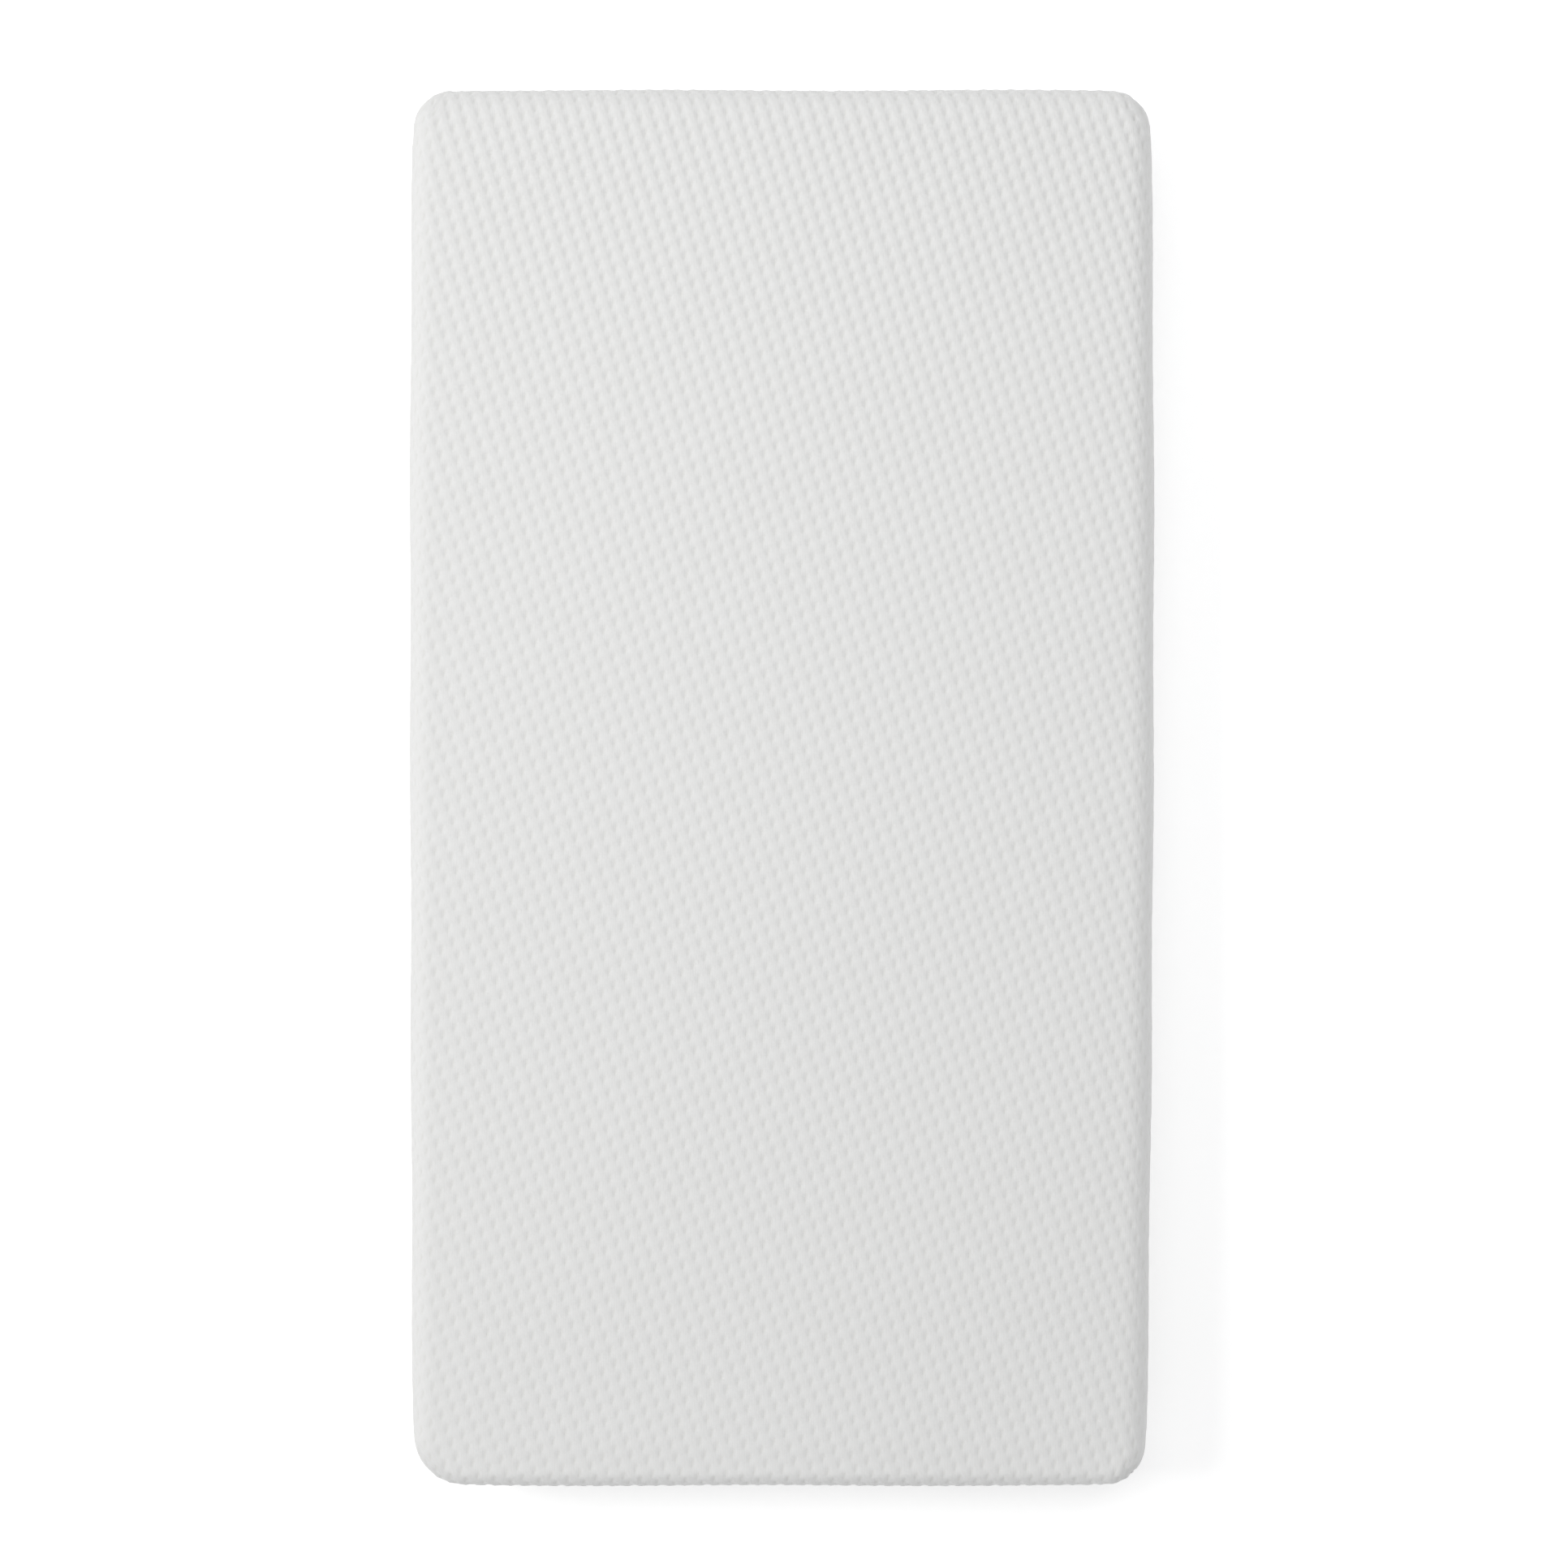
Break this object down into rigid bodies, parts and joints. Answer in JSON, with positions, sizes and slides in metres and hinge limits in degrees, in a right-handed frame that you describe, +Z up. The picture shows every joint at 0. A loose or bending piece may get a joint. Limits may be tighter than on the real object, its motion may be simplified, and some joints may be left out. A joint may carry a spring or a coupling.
{
  "type": "foam cot mattress",
  "caption": "Rectangular foam cot mattress: layered foam in a fire-barrier sock, inside a white dimpled knit cover with a side zip and hanging labels.",
  "frame": {"origin": "centre of the underside, on the surface the mattress lies on", "axes": "+Y along the mattress towards its head end, +Z up through its thickness, +X towards the side with the zip"},
  "size_m": [0.6988, 1.3118, 0.14],
  "materials": {
    "knit_cover": "white quilted jacquard knit, soft matt",
    "base_fabric": "white plain knit, matt",
    "fire_sock": "off-white tubular rib knit",
    "memory_foam": "cream open-cell viscoelastic foam",
    "support_foam": "off-white open-cell foam",
    "seam_thread": "white overlocked seam",
    "zip_tape": "white woven twill tape",
    "zip_coil": "white nylon monofilament coil",
    "zip_enamel": "white enamel on die-cast zinc",
    "zip_metal": "bare stamped metal",
    "label_satin": "white woven satin, blank"
  },
  "bodies": {
    "mattress": {"cover_top": "knit_cover", "cover_bottom": "base_fabric", "fire_barrier_sock": "fire_sock", "fire_barrier_flap": "fire_sock", "memory_foam_layer": "memory_foam", "support_core": "support_foam", "perimeter_seam": "seam_thread", "corner_seam_head_right": "seam_thread", "corner_seam_head_left": "seam_thread", "corner_seam_foot_left": "seam_thread", "corner_seam_foot_right": "seam_thread", "zip_tape_upper": "zip_tape", "zip_tape_lower": "zip_tape", "zip_end_tab_head": "zip_tape", "zip_end_tab_foot": "zip_tape", "zip_coil_upper": "zip_coil", "zip_coil_lower": "zip_coil", "zip_stop_head_upper": "zip_metal", "zip_stop_head_lower": "zip_metal", "zip_stop_foot": "zip_metal"},
    "zip_runner": {"zip_slider": "zip_enamel"},
    "zip_pull_tab": {"zip_pull": "zip_enamel"},
    "care_tag": {"care_label": "label_satin"},
    "law_tag": {"law_label": "label_satin"}
  },
  "joints": [
    {"name": "zip_slide", "type": "slide", "parent": "mattress", "child": "zip_runner", "axis": [0, -1, 0], "range_m": [0, 1.137]},
    {"name": "zip_pull_swing", "type": "hinge", "parent": "zip_runner", "child": "zip_pull_tab", "pos_m": [0.3472, 0.568, 0.03], "axis": [0, 0, 1], "range_deg": [0, 175]},
    {"name": "care_tag_lift", "type": "hinge", "parent": "mattress", "child": "care_tag", "pos_m": [-0.34955, -0.38, 0.0294], "axis": [0, 1, 0], "range_deg": [0, 120]},
    {"name": "law_tag_lift", "type": "hinge", "parent": "mattress", "child": "law_tag", "pos_m": [0.18, -0.65605, 0.0294], "axis": [-1, 0, 0], "range_deg": [0, 120]}
  ]
}
